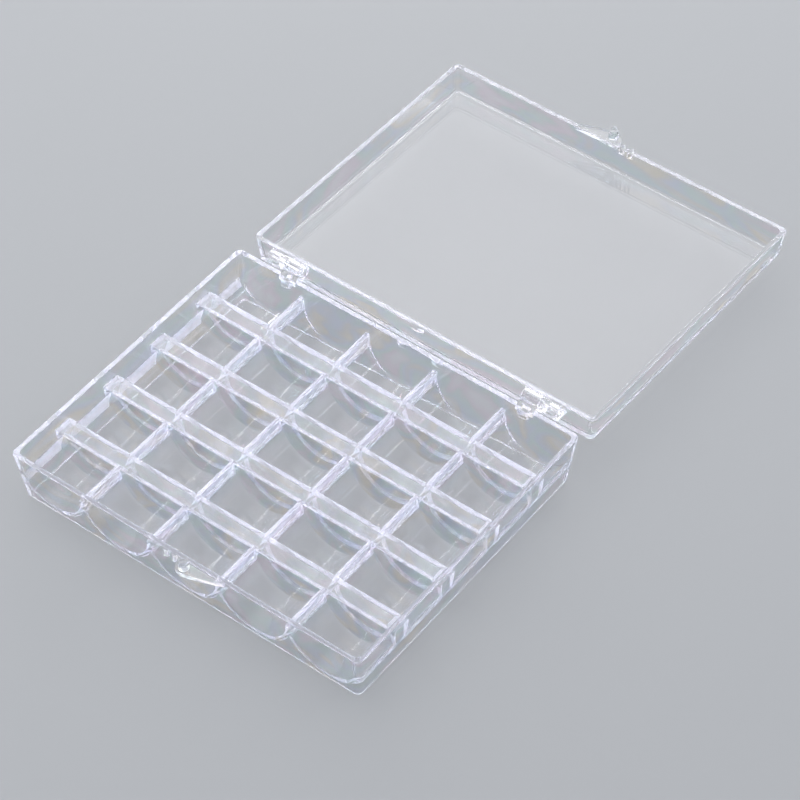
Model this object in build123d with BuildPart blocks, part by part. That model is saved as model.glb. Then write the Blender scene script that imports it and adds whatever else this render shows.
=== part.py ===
"""Bobbin storage case: a clear tray of 25 trough-bottomed compartments and a hinged clear lid.

Millimetres. X runs along the hinge, Y from the tray to the open lid, Z up. The origin is on the
table straight below the middle of the hinge axis. The tray lies at negative Y, and the lid lies
folded right back at positive Y, which is the rest pose.
"""

import os
from math import cos, radians, sin, sqrt, tan

from build123d import *

# Compartments, sized for a class 15 bobbin standing on its rim
columns = 5
rows = 5
trough_radius = 11.1
trough_shell = 1.4
trough_ground_gap = 0.7
column_divider = 1.42
divider_lip = 0.3
compartment_length = 14.2
row_divider = 5.85
row_divider_wall = 1.2
row_divider_top = 1.2
end_web = 2.45
end_web_draft = 14.5
rim_above_dividers = 3.5
divider_round = 0.25

# Walls, alike on both mouldings
wall = 1.5
draft = 6.3
side_margin = 0.95
end_margin = 0.3
outside_corner = 1.8
inside_corner = 1.4
rim_round = 0.2
foot_round = 0.3

# Lid
lid_height = 9.25
lid_plate = 1.25
lid_inside_round = 1.2
lid_outside_round = 0.9
lid_droop = 2.26
rim_gap = 0.06

# Hinge: barrels on the tray, knuckles with stub pins on the lid
hinge_offset = 3.22
hinge_drop = 0.1
barrel_radius = 2.3
barrel_inner_end = 38.7
barrel_length = 5.8
pin_radius = 1.35
pin_clearance = 0.05
pin_short_by = 1.0
end_play = 0.1
knuckle_length = 6.0
knuckle_radius = 1.9
flange_radius = 2.3
inner_flange = 1.2
outer_flange = 0.8
recess_radius = 1.2
recess_depth = 3.4
lug_depth = 2.3

# Rim pocket beside each barrel, closed on the inside by a half-round boss
pocket_inner_end = 40.3
left_pocket_length = 2.2
right_pocket_length = 3.1
pocket_width = 1.9
pocket_depth = 2.0
boss_length = 4.5
boss_proud = 1.1
boss_floor = 0.7

# Shallow moulding pads along the middle of the hinge side
tray_pads = ((0.0, 3.4), (12.4, 4.6))
tray_pad_proud = 0.5
lid_pad = (-0.7, 4.8)
lid_pad_proud = 0.7
pad_depth = 1.6

# Catch: the peg on each half nests between two nubs on the other
peg_x = 3.2
peg_radius = 1.6
peg_rise = 2.6
peg_draft = 6.0
dish_radius = 0.9
dish_depth = 0.5
nub_radius = 1.0
nub_spacing = 3.0
nub_out = 0.75
nub_depth = 2.6
catch_clearance = 0.08
tab_start = 0.4
tab_end = 15.2
tab_margin = 0.45
tab_bulge = 0.4
tab_drop = 0.3
tab_thickness = 1.4

# Sizes that follow from the ones above
lean = tan(radians(draft))
droop = radians(lid_droop)
column_pitch = 2 * trough_radius + column_divider
row_pitch = compartment_length + row_divider
trough_outer_radius = trough_radius + trough_shell
trough_axis_height = trough_ground_gap + trough_outer_radius
tray_height = trough_axis_height + divider_lip + rim_above_dividers
case_width = columns * column_pitch + 2 * side_margin
case_depth = rows * row_pitch - row_divider + 2 * (wall + end_margin)
row_offsets = [(row - rows / 2) * row_pitch for row in range(1, rows)]
hinge_height = tray_height - hinge_drop
middle = hinge_offset + case_depth / 2
front = hinge_offset + case_depth
root = wall / 2
barrel_outer_end = barrel_inner_end + barrel_length
pin_length = barrel_length + end_play - pin_short_by
peg_out = nub_out - nub_radius + sqrt(
    (peg_radius + nub_radius + catch_clearance) ** 2 - (nub_spacing / 2) ** 2
)
tab_out = peg_out + peg_radius + tab_margin

# Each half is drawn down from its own rim plane, whose origin lies over or under the hinge axis
tray_rim = Plane(origin=(0, 0, tray_height), x_dir=(1, 0, 0), z_dir=(0, 0, 1))
lid_axes = Plane(origin=(0, 0, hinge_height), x_dir=(1, 0, 0), z_dir=(0, sin(droop), cos(droop)))
lid_rim_drop = hinge_drop + rim_gap
lid_rim = lid_axes.offset(-lid_rim_drop)
trough_plane = Plane(origin=(0, -middle, trough_axis_height), x_dir=(1, 0, 0), z_dir=(0, -1, 0))
lid_up = Axis(lid_rim.origin, lid_rim.z_dir)


def drafted_block(rim, toward, depth, inset, corner):
    """Draw a block down from the rim plane, narrowing with the draft, and round its upright edges."""
    centre = rim.from_local_coords((0, toward * middle, 0))
    across = Plane(origin=centre, x_dir=rim.x_dir, z_dir=-rim.y_dir)
    along = Plane(origin=centre, x_dir=rim.y_dir, z_dir=rim.x_dir)
    with BuildPart() as block:
        for side, length, mode in (
            (across, case_width, Mode.ADD),
            (along, case_depth, Mode.INTERSECT),
        ):
            with BuildSketch(side):
                Trapezoid(
                    length - 2 * inset,
                    depth,
                    90 - draft,
                    rotation=180,
                    align=(Align.CENTER, Align.MIN),
                )
            extrude(amount=case_width, both=True, mode=mode)
        upright = block.edges().filter_by(lambda edge: abs(edge.tangent_at().dot(rim.z_dir)) > 0.5)
        fillet(upright, corner)
    return block.part


def across_hinge(rim, x):
    """Give the plane square to the hinge axis at x, upright in the half that rim belongs to."""
    return Plane(origin=(x, 0, hinge_height), x_dir=rim.y_dir, z_dir=(1, 0, 0))


def hinge_lug(toward, rim_level):
    """Draw the web from the hinge axis to its wall, flush with the rim."""
    reach = hinge_offset + root
    with Locations((toward * reach / 2, rim_level - lug_depth / 2)):
        Rectangle(reach, lug_depth)


def half_round(rim, x, length, face, proud, depth):
    """Add a half-round pad that stands proud of a wall's face and runs down from the rim."""
    left = (x - length / 2, face)
    right = (x + length / 2, face)
    inward = root if proud < 0 else -root
    with BuildSketch(rim) as pad:
        with BuildLine():
            ThreePointArc(left, (x, face + proud), right)
            Polyline(right, (right[0], face + inward), (left[0], face + inward), left)
        make_face()
    extrude(pad.sketch, amount=-depth)


def catch(rim, toward, hand):
    """Add the thumb tab, its peg and the two nubs to the wall that faces away from the hinge."""

    def at(x, out):
        return (hand * x, toward * (front + out))

    with BuildSketch(rim.offset(-tab_drop)) as tab:
        with BuildLine():
            bend = at(peg_x + tab_margin, tab_out)
            shoulder = at(peg_x - peg_radius, peg_out + peg_radius)
            crest = at((peg_x + tab_margin + tab_end) / 2, tab_out / 2 + tab_bulge)
            ThreePointArc(at(tab_start, -root), shoulder, bend)
            ThreePointArc(bend, crest, at(tab_end, 0))
            Polyline(at(tab_end, 0), at(tab_end, -root), at(tab_start, -root))
        make_face()
    extrude(tab.sketch, amount=-tab_thickness)
    with BuildSketch(rim) as peg:
        with Locations(at(peg_x, peg_out)):
            Circle(peg_radius)
    extrude(peg.sketch, amount=-(tab_drop + tab_thickness / 2))
    extrude(peg.sketch, amount=peg_rise, taper=peg_draft)
    with BuildSketch(rim.offset(peg_rise)) as dish:
        with Locations(at(peg_x, peg_out)):
            Circle(dish_radius)
    extrude(dish.sketch, amount=-dish_depth, mode=Mode.SUBTRACT)
    for nub_x in (-peg_x - nub_spacing / 2, -peg_x + nub_spacing / 2):
        with BuildSketch(rim) as nub:
            with Locations(at(nub_x, nub_out - nub_radius)):
                Circle(nub_radius)
        extrude(nub.sketch, amount=-nub_depth)


# The drafted blocks that bound the walls and the trough sheet
cavity_depth = lid_height - lid_plate
tray_outside = drafted_block(tray_rim, -1, tray_height, 0, outside_corner)
tray_inside = drafted_block(tray_rim, -1, tray_height, wall, inside_corner)
sheet_bounds = drafted_block(tray_rim, -1, tray_height, root, inside_corner)
lid_outside = drafted_block(lid_rim, 1, lid_height, 0, outside_corner)
lid_inside = drafted_block(lid_rim, 1, cavity_depth, wall, inside_corner)

# Trough sheet: five half-round troughs side by side, crossed by four hollow row dividers
with BuildPart() as trough_sheet:
    with BuildSketch(trough_plane):
        with GridLocations(column_pitch, 1, columns, 1):
            Circle(trough_outer_radius)
        with Locations((0, divider_lip + trough_outer_radius)):
            Rectangle(2 * case_width, 2 * trough_outer_radius, mode=Mode.SUBTRACT)
        with Locations((0, divider_lip / 2)):
            Rectangle(case_width, divider_lip)
        with GridLocations(column_pitch, 1, columns, 1):
            Circle(trough_radius, mode=Mode.SUBTRACT)
            Rectangle(2 * trough_radius, 2 * divider_lip, mode=Mode.SUBTRACT)
    extrude(amount=case_depth / 2, both=True)
    with BuildSketch(*[trough_plane.offset(offset) for offset in row_offsets]):
        with GridLocations(column_pitch, 1, columns, 1):
            Circle(trough_outer_radius)
        with Locations((0, divider_lip + trough_outer_radius)):
            Rectangle(2 * case_width, 2 * trough_outer_radius, mode=Mode.SUBTRACT)
        with Locations((0, divider_lip / 2)):
            Rectangle(case_width, divider_lip)
    extrude(amount=row_divider / 2, both=True)
    top_edges = trough_sheet.faces().filter_by(Axis.Z).sort_by(Axis.Z)[-1].inner_wires().edges()
    fillet(top_edges, divider_round)
    channel_top = divider_lip - row_divider_top
    channel_half = case_width / 2 - wall - rim_above_dividers * lean - end_web
    channel_drop = 2 * trough_outer_radius
    channel_spread = channel_half + channel_drop * tan(radians(end_web_draft))
    with BuildSketch(*[trough_plane.offset(offset) for offset in row_offsets]):
        with BuildLine():
            Polyline(
                (-channel_half, channel_top),
                (channel_half, channel_top),
                (channel_spread, channel_top - channel_drop),
                (-channel_spread, channel_top - channel_drop),
                close=True,
            )
        make_face()
    extrude(amount=row_divider / 2 - row_divider_wall, both=True, mode=Mode.SUBTRACT)
    add(sheet_bounds, mode=Mode.INTERSECT)

# Base tray: four drafted walls round the trough sheet, with its half of the hinge and the catch
with BuildPart() as base_tray:
    add(tray_outside)
    add(tray_inside, mode=Mode.SUBTRACT)
    fillet(base_tray.faces().sort_by(Axis.Z)[-1].edges(), rim_round)
    fillet(base_tray.faces().sort_by(Axis.Z)[0].edges(), foot_round)
    add(trough_sheet.part)
    inner_face = -(hinge_offset + wall)
    for hand, pocket_length in ((-1, left_pocket_length), (1, right_pocket_length)):
        with BuildSketch(across_hinge(tray_rim, hand * barrel_inner_end)):
            Circle(barrel_radius)
            hinge_lug(-1, hinge_drop)
            Circle(pin_radius + pin_clearance, mode=Mode.SUBTRACT)
        extrude(amount=hand * barrel_length)
        pocket_x = hand * (pocket_inner_end + pocket_length / 2)
        half_round(tray_rim, pocket_x, boss_length, inner_face, -boss_proud, pocket_depth + boss_floor)
        with BuildSketch(tray_rim):
            with Locations((pocket_x, inner_face + pocket_width / 2)):
                Rectangle(pocket_length, pocket_width)
        extrude(amount=-pocket_depth, mode=Mode.SUBTRACT)
    for pad_x, pad_length in tray_pads:
        half_round(tray_rim, pad_x, pad_length, inner_face, -tray_pad_proud, pad_depth)
    catch(tray_rim, -1, 1)

# Lid: a shallow drafted box, open side up in the rest pose, with the hinge pins moulded on
with BuildPart() as lid:
    add(lid_outside)
    fillet(lid.faces().sort_by(lid_up)[0].edges(), lid_outside_round)
    add(lid_inside, mode=Mode.SUBTRACT)
    fillet(lid.faces().sort_by(lid_up)[-1].edges(), rim_round)
    ceiling = lid.faces().filter_by(lambda face: face.normal_at().dot(lid_up.direction) > 0.999)
    fillet(ceiling.sort_by(lid_up)[0].edges(), lid_inside_round)
    for hand in (-1, 1):
        knuckle_start = barrel_outer_end + end_play
        knuckle_end = knuckle_start + knuckle_length
        with BuildSketch(across_hinge(lid_rim, hand * knuckle_start)):
            Circle(knuckle_radius)
            hinge_lug(1, -lid_rim_drop)
        extrude(amount=hand * knuckle_length)
        with BuildSketch(across_hinge(lid_rim, hand * knuckle_start)):
            Circle(flange_radius)
        extrude(amount=hand * inner_flange)
        with BuildSketch(across_hinge(lid_rim, hand * knuckle_end)):
            Circle(flange_radius)
        extrude(amount=-hand * outer_flange)
        with BuildSketch(across_hinge(lid_rim, hand * (knuckle_start - pin_length))):
            Circle(pin_radius)
        extrude(amount=hand * (pin_length + inner_flange))
        with BuildSketch(across_hinge(lid_rim, hand * knuckle_end)):
            Circle(recess_radius)
        extrude(amount=-hand * recess_depth, mode=Mode.SUBTRACT)
    pad_x, pad_length = lid_pad
    half_round(lid_rim, pad_x, pad_length, hinge_offset, -lid_pad_proud, pad_depth)
    catch(lid_rim, 1, -1)

base_tray.part.label = "base_tray"
lid.part.label = "lid"

os.makedirs("parts", exist_ok=True)
for piece in (base_tray, lid):
    export_step(piece.part, f"parts/{piece.part.label}.step")
    box = piece.part.bounding_box()
    print(piece.part.label, len(piece.part.solids()), "solid", box.min, box.max)
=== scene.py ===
import math

import bpy
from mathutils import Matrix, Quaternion, Vector


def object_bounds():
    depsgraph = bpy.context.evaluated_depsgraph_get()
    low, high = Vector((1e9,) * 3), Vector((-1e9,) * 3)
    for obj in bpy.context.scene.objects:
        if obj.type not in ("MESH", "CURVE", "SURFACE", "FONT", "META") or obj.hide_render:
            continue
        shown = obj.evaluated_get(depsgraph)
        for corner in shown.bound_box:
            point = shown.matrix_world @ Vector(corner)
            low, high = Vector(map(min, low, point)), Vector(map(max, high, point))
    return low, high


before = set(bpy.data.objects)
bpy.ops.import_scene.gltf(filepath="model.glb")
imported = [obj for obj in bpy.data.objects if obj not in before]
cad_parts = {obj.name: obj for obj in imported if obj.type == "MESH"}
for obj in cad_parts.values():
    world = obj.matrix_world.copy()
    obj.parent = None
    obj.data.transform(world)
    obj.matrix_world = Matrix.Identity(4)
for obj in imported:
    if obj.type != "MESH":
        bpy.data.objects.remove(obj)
cad_low, cad_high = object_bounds()

# Base tray
# The tray is one shot of crystal polystyrene: five troughs side by side, cut into compartments by
# hollow cross walls, in a thin outer wall that carries the hinge barrels, the catch peg and its
# nubs. It comes clear and glossy out of a polished steel mould, and is neither trimmed nor painted.

MILLIMETRE = 0.001


def linear(hex_colour):
    """A colour written as sRGB hex, as the linear values that a shader takes."""
    channels = [int(hex_colour[i:i + 2], 16) / 255 for i in (1, 3, 5)]
    values = [c / 12.92 if c <= 0.04045 else ((c + 0.055) / 1.055) ** 2.4 for c in channels]
    return (*values, 1.0)


def add_node(tree, kind, values=None, feeds=None, stops=(), **properties):
    """A shader node with its properties, the values of its sockets, the links that feed them and
    the stops of its colour ramp, each a position and a hex colour."""
    node = tree.nodes.new("ShaderNode" + kind)
    for name, value in properties.items():
        setattr(node, name, value)
    for socket, value in (values or {}).items():
        node.inputs[socket].default_value = value
    for socket, source in (feeds or {}).items():
        tree.links.new(source, node.inputs[socket])
    if stops:
        ramp = node.color_ramp.elements
        while len(ramp) < len(stops):
            ramp.new(0.5)
        for element, (position, hex_colour) in zip(ramp, stops):
            element.position = position
            element.color = linear(hex_colour)
    return node


def moulded_crystal_polystyrene(name, wave_length, band_size):
    """Clear general purpose polystyrene as it leaves a polished mould, with the length of its
    shrink waves and the size of its stress bands in millimetres. It gives the eye a hard gloss,
    a view of what lies behind, bent a little, and a faint blue where light runs far through it."""
    refractive_index = 1.59
    clear_share = 0.97
    tint = linear("#d6d8ef")
    tint_per_metre = 8.0
    uncoloured = linear("#fefeff")
    # Pale colour of the painted edge highlight, which rays take on after mirroring inside the walls
    painted_edge_highlight_colour = linear("#d4d4d7")
    polished, scuffed = 0.012, 0.07
    scuff_width = 1.2 * MILLIMETRE
    wave_rise = 0.05 * MILLIMETRE

    material = bpy.data.materials.new(name)
    material.use_nodes = True
    tree = material.node_tree
    tree.nodes.clear()
    space = add_node(tree, "TexCoord")
    place = space.outputs["Object"]
    rays = add_node(tree, "LightPath")

    # Stress that froze in where the melt flowed gives pale bands of colour. The noise keeps mostly
    # between 0.3 and 0.7, so the hues are spread over that.
    along = add_node(tree, "Mapping", {"Scale": [1 / (size * MILLIMETRE) for size in band_size]},
                     {"Vector": place})
    stress = add_node(tree, "TexNoise", {"Scale": 1.0, "Detail": 1.0, "Distortion": 0.6},
                      {"Vector": along.outputs["Vector"]})
    bands = add_node(tree, "ValToRGB", feeds={"Fac": stress.outputs["Fac"]},
                     stops=((0.30, "#fefeff"), (0.38, "#fdf2f9"), (0.46, "#eefbf6"),
                            (0.54, "#eff3ff"), (0.62, "#fff8ea"), (0.70, "#fefeff")))

    # The bands show on the upright walls alone. A colour Mix has its factor at socket 0, its
    # colours at sockets 6 and 7, and its result at output 2.
    facing = add_node(tree, "SeparateXYZ", feeds={"Vector": space.outputs["Normal"]})
    level = add_node(tree, "Math", feeds={0: facing.outputs["Z"]}, operation="ABSOLUTE")
    upright = add_node(tree, "MapRange", {"From Min": 0.2, "From Max": 0.6, "To Min": 1.0,
                                          "To Max": 0.0}, {"Value": level.outputs["Value"]})
    tinted = add_node(tree, "Mix", {6: uncoloured},
                      {0: upright.outputs["Result"], 7: bands.outputs["Color"]},
                      data_type="RGBA")

    # Handling leaves a few matt scuffs. Real ones are as fine as a hair, and these are drawn
    # coarser so that they show.
    scuffs = add_node(tree, "TexNoise", {"Scale": 1 / scuff_width, "Detail": 3.0},
                      {"Vector": place})
    matt = add_node(tree, "MapRange", {"From Min": 0.55, "From Max": 0.8, "To Min": polished,
                                       "To Max": scuffed}, {"Value": scuffs.outputs["Fac"]})

    # The walls shrink unevenly as they cool, and the slow waves bend what is seen through them
    waves = add_node(tree, "TexNoise", {"Scale": 1 / (wave_length * MILLIMETRE), "Detail": 0.0},
                     {"Vector": place})
    shrunk = add_node(tree, "Bump", {"Strength": 0.1, "Distance": wave_rise},
                      {"Height": waves.outputs["Fac"]})

    clear = add_node(tree, "BsdfPrincipled",
                     {"IOR": refractive_index, "Transmission Weight": clear_share},
                     {"Base Color": tinted.outputs[2],
                      "Roughness": matt.outputs["Result"],
                      "Normal": shrunk.outputs["Normal"]})
    depth = add_node(tree, "VolumeAbsorption", {"Color": tint, "Density": tint_per_metre})

    # Shadow rays and diffuse rays go straight through, dimmed a little where they graze the wall,
    # so that the lamps reach the table through the case
    slant = add_node(tree, "LayerWeight", {"Blend": 0.25})
    pane = add_node(tree, "MapRange", {"To Min": 0.99, "To Max": 0.8},
                    {"Value": slant.outputs["Facing"]})
    open_to_lamps = add_node(tree, "BsdfTransparent", feeds={"Color": pane.outputs["Result"]})
    lighting = add_node(tree, "Math", feeds={0: rays.outputs["Is Shadow Ray"],
                                             1: rays.outputs["Is Diffuse Ray"]},
                        operation="MAXIMUM")
    wall = add_node(tree, "MixShader", feeds={0: lighting.outputs["Value"],
                                              1: clear.outputs["BSDF"],
                                              2: open_to_lamps.outputs["BSDF"]})

    # Rays that total reflection keeps inside the walls are switched, by how often they have
    # mirrored, to a pale lit diffuse and translucent shader: a painted highlight that makes every
    # edge white. It starts at the second mirroring and is whole at the fourth.
    trapped = add_node(tree, "MapRange", {"From Min": 1.0, "From Max": 4.0},
                       {"Value": rays.outputs["Glossy Depth"]})
    outward = add_node(tree, "BsdfTranslucent", {"Color": painted_edge_highlight_colour})
    inward = add_node(tree, "BsdfDiffuse", {"Color": painted_edge_highlight_colour})
    painted_edge_highlight = add_node(tree, "AddShader", feeds={0: outward.outputs["BSDF"],
                                              1: inward.outputs["BSDF"]})
    whole = add_node(tree, "MixShader", feeds={0: trapped.outputs["Result"],
                                               1: wall.outputs["Shader"],
                                               2: painted_edge_highlight.outputs["Shader"]})
    add_node(tree, "OutputMaterial", feeds={"Surface": whole.outputs["Shader"],
                                            "Volume": depth.outputs["Volume"]})
    return material


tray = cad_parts["base_tray"]
tray.data.materials.clear()
tray.data.materials.append(moulded_crystal_polystyrene("tray_polystyrene", wave_length=9,
                                                       band_size=(12, 30, 8)))

# Lid
# The lid is a second shot of the same polystyrene, a shallow drafted tray that turns right over
# and lies back on the table. Its stub pins are moulded on and snap into the tray's barrels. Its
# plate is broad and flat, so its waves and bands are longer than those of the troughs.

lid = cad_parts["lid"]
lid.data.materials.clear()
lid.data.materials.append(moulded_crystal_polystyrene("lid_polystyrene", wave_length=22,
                                                      band_size=(22, 22, 6)))

# Table
# A pale board lies under the case, lit by the lamps, so that it keeps the case's shadow. Away from
# the case it runs out into plain paper of the same tone, which looks the same from every side.

board_reach = 6.0
board_height = -0.05 * MILLIMETRE
paper_from, paper_whole = 0.12, 0.45
corners = [(x * board_reach, y * board_reach, board_height)
           for x, y in ((-1, -1), (1, -1), (1, 1), (-1, 1))]
floor_mesh = bpy.data.meshes.new("table_top")
floor_mesh.from_pydata(corners, [], [(0, 1, 2, 3)])
floor = bpy.data.objects.new("table_top", floor_mesh)
bpy.context.scene.collection.objects.link(floor)

# Satin paint on board scatters the lamps' light: a soft even grey with no mirror image in it
board = bpy.data.materials.new("pale_satin_board")
board.use_nodes = True
ground = board.node_tree
satin = ground.nodes["Principled BSDF"]
satin.inputs["Base Color"].default_value = linear("#c0c3c8")
satin.inputs["Roughness"].default_value = 0.6

# The paper shows to rays that look at it, and not to diffuse rays, so that it lights nothing
spot = add_node(ground, "TexCoord").outputs["Object"]
spread = add_node(ground, "VectorMath", feeds={0: spot}, operation="LENGTH")
far_off = add_node(ground, "MapRange", {"From Min": paper_from, "From Max": paper_whole},
                   {"Value": spread.outputs["Value"]}, interpolation_type="SMOOTHERSTEP")
bounced = add_node(ground, "LightPath").outputs["Is Diffuse Ray"]
looked_at = add_node(ground, "Math", {0: 1.0}, {1: bounced}, operation="SUBTRACT")
share = add_node(ground, "Math", feeds={0: far_off.outputs["Result"],
                                        1: looked_at.outputs["Value"]}, operation="MULTIPLY")
paper = add_node(ground, "Emission", {"Color": linear("#bcbfc4")})
mixed = add_node(ground, "MixShader", feeds={0: share.outputs["Value"],
                                             1: satin.outputs["BSDF"],
                                             2: paper.outputs["Emission"]})
ground.links.new(mixed.outputs["Shader"], ground.nodes["Material Output"].inputs["Surface"])
floor_mesh.materials.append(board)

# Strip lamps
# Three long narrow softboxes draw the bright lines along the edges of the case. One hangs low
# behind it, one high at its left, and one lower at its right, where no trough mirrors it.

centre = (cad_low + cad_high) / 2
middle = Vector((centre.x, centre.y, 0))
strip_distance = 1.5
strip_width = 0.22


def toward(azimuth, elevation):
    """The direction from the case to a bearing round it and a height above it, in degrees."""
    turn = math.radians(azimuth)
    rise = math.radians(elevation)
    return Vector((math.sin(turn) * math.cos(rise), -math.cos(turn) * math.cos(rise),
                   math.sin(rise)))


def strip_lamp(name, azimuth, elevation, length, radiance):
    """A level softbox that faces the case, brightest at its middle and dark at its rim."""
    lamp = bpy.data.lights.new(name, "AREA")
    lamp.shape = "RECTANGLE"
    lamp.size = length
    lamp.size_y = strip_width
    lamp.energy = math.pi * length * strip_width * radiance
    lamp.use_nodes = True
    tree = lamp.node_tree

    # Parametric runs from 0 to 1 along each side, so that the rim is 0.5 from the middle
    rim = 0.5
    along_sides = add_node(tree, "SeparateXYZ", feeds={
        "Vector": add_node(tree, "NewGeometry").outputs["Parametric"]})
    fades = []
    for side in ("X", "Y"):
        from_rim = add_node(tree, "Math", {1: rim}, {0: along_sides.outputs[side]},
                            operation="PINGPONG")
        fade = add_node(tree, "MapRange", {"From Max": rim}, {"Value": from_rim.outputs["Value"]},
                        interpolation_type="SMOOTHERSTEP")
        fades.append(fade.outputs["Result"])
    cloth = add_node(tree, "Math", feeds={0: fades[0], 1: fades[1]}, operation="MULTIPLY")
    tree.links.new(cloth.outputs["Value"], tree.nodes["Emission"].inputs["Strength"])

    away = toward(azimuth, elevation)
    softbox = bpy.data.objects.new(name, lamp)
    softbox.location = middle + away * strip_distance
    softbox.rotation_mode = "QUATERNION"
    softbox.rotation_quaternion = (-away).to_track_quat("-Z", "Y")
    bpy.context.scene.collection.objects.link(softbox)


strip_lamp("back_strip", azimuth=218, elevation=16, length=2.0, radiance=30)
strip_lamp("left_strip", azimuth=300, elevation=48, length=1.6, radiance=24)
strip_lamp("right_strip", azimuth=147, elevation=28, length=1.6, radiance=24)

# Studio walls
# The room is as pale as the paper at the table's height, dark above that, where it gives the clear
# walls their contrast, and grey overhead. A broad soft glow stands where the plate of the open lid
# mirrors it, so that the plate looks a little lighter than the table.

glow_middle = toward(azimuth=218, elevation=50)
glow_radius = math.radians(45)
glow_strength = 1.3
world = bpy.data.worlds.new("studio_walls")
bpy.context.scene.world = world
world.use_nodes = True
walls = world.node_tree
outlook = add_node(walls, "TexCoord").outputs["Generated"]
height = add_node(walls, "SeparateXYZ", feeds={"Vector": outlook})
shade = add_node(walls, "ValToRGB", feeds={"Fac": height.outputs["Z"]},
                 stops=((0.0, "#bcbfc4"), (0.1, "#b2b5b9"), (0.28, "#2e3033"), (1.0, "#76787c")))
near = add_node(walls, "VectorMath", {1: glow_middle}, {0: outlook}, operation="DOT_PRODUCT")
glow = add_node(walls, "MapRange", {"From Min": math.cos(glow_radius), "From Max": 1.0,
                                    "To Min": 0.0, "To Max": glow_strength},
                {"Value": near.outputs["Value"]}, interpolation_type="SMOOTHERSTEP")
lit = add_node(walls, "VectorMath", feeds={0: shade.outputs["Color"],
                                           1: glow.outputs["Result"]}, operation="ADD")
walls.links.new(lit.outputs["Vector"], walls.nodes["Background"].inputs["Color"])
walls.nodes["Background"].inputs["Strength"].default_value = 1.0

# Camera
# It stands where the photographer stood: round to the right of the catch side, looking down at
# nearly 48 degrees through a long lens, with the horizon just off level.

camera_side = toward(azimuth=38.08, elevation=47.86)
camera_roll = math.radians(-0.88)
camera_distance = 921.7 * MILLIMETRE
aim = Vector((3.27, -10.15, 0)) * MILLIMETRE
lens = bpy.data.cameras.new("photograph_camera")
lens.lens = 147.36
lens.sensor_width = 36
camera = bpy.data.objects.new("photograph_camera", lens)
camera.location = aim + camera_side * camera_distance
camera.rotation_mode = "QUATERNION"
roll = Quaternion((0, 0, 1), camera_roll)
camera.rotation_quaternion = (-camera_side).to_track_quat("-Z", "Y") @ roll
bpy.context.scene.collection.objects.link(camera)
bpy.context.scene.camera = camera

# Picture
# Many clear walls stand one behind another, so that a ray mirrors and bends in them often before
# it gets out, and a shadow ray has still more of them to pass.

most_bounces = 32
most_walls_passed = 64
bpy.context.scene.view_settings.view_transform = "Standard"
bpy.context.scene.cycles.max_bounces = most_bounces
bpy.context.scene.cycles.transmission_bounces = most_bounces
bpy.context.scene.cycles.glossy_bounces = most_bounces
bpy.context.scene.cycles.transparent_max_bounces = most_walls_passed
bpy.context.scene.cycles.caustics_refractive = False
bpy.context.scene.cycles.caustics_reflective = False
